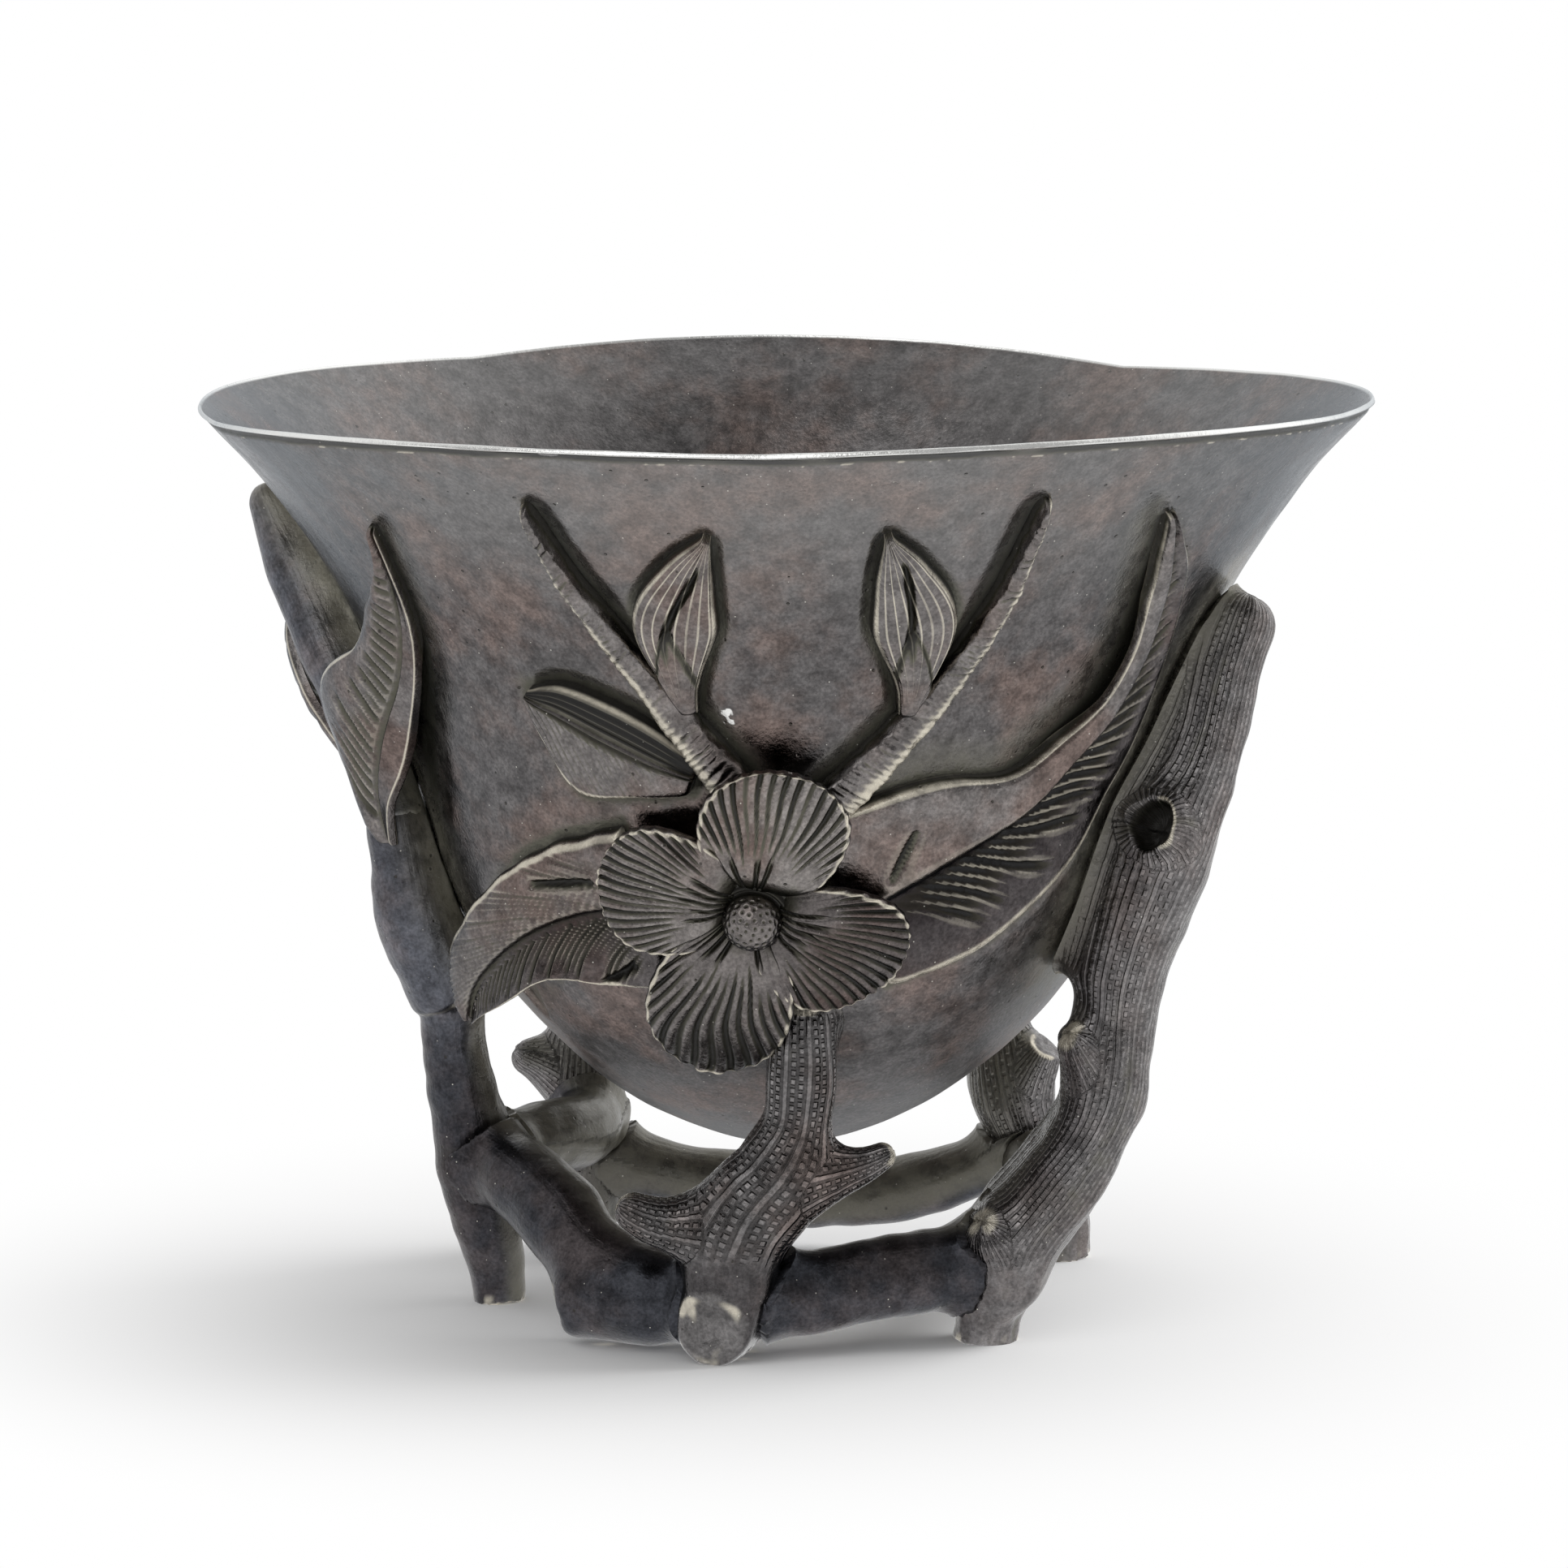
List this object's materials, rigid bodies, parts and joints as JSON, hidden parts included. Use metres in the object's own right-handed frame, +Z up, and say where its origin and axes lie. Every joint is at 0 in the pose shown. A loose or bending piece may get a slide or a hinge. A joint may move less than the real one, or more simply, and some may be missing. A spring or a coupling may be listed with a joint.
{
  "type": "cup",
  "caption": "Flared bronze libation cup with a lobed mouth, carried on an openwork stand of gnarled branches, with a blossom, buds and leaves on the wall.",
  "frame": {"origin": "on the bowl's axis, on the surface that the feet stand on", "axes": "+Z up along the bowl's axis; the blossom side faces -Y; +X to the right of that side"},
  "size_m": [0.0921, 0.0919, 0.0734],
  "materials": {
    "wall_bronze": "dark grey-brown patina, satin",
    "bark_bronze": "dark patina over chased bark, worn at the ridges",
    "leaf_bronze": "dark red-brown patina, worn at the edges",
    "blossom_bronze": "red-brown patina with rubbed petal rims"
  },
  "bodies": {
    "root": {"bowl": "wall_bronze", "left_trunk": "bark_bronze", "right_trunk": "bark_bronze", "front_stem": "bark_bronze", "back_right_trunk": "bark_bronze", "back_left_trunk": "bark_bronze", "left_bough": "bark_bronze", "front_left_log": "bark_bronze", "front_right_log": "bark_bronze", "right_back_log": "bark_bronze", "back_log": "bark_bronze", "left_back_log": "bark_bronze", "left_twig": "bark_bronze", "right_twig": "bark_bronze", "back_twig": "bark_bronze", "right_leaf": "leaf_bronze", "left_leaf": "leaf_bronze", "side_leaf": "leaf_bronze", "far_leaf": "leaf_bronze", "back_right_leaf": "leaf_bronze", "back_left_leaf": "leaf_bronze", "side_bud": "leaf_bronze", "upper_left_bud": "leaf_bronze", "upper_right_bud": "leaf_bronze", "back_bud": "leaf_bronze", "blossom_boss": "blossom_bronze", "petal_top": "blossom_bronze", "petal_left": "blossom_bronze", "petal_bottom": "blossom_bronze", "petal_right": "blossom_bronze", "stamen_dome": "blossom_bronze"}
  },
  "joints": []
}
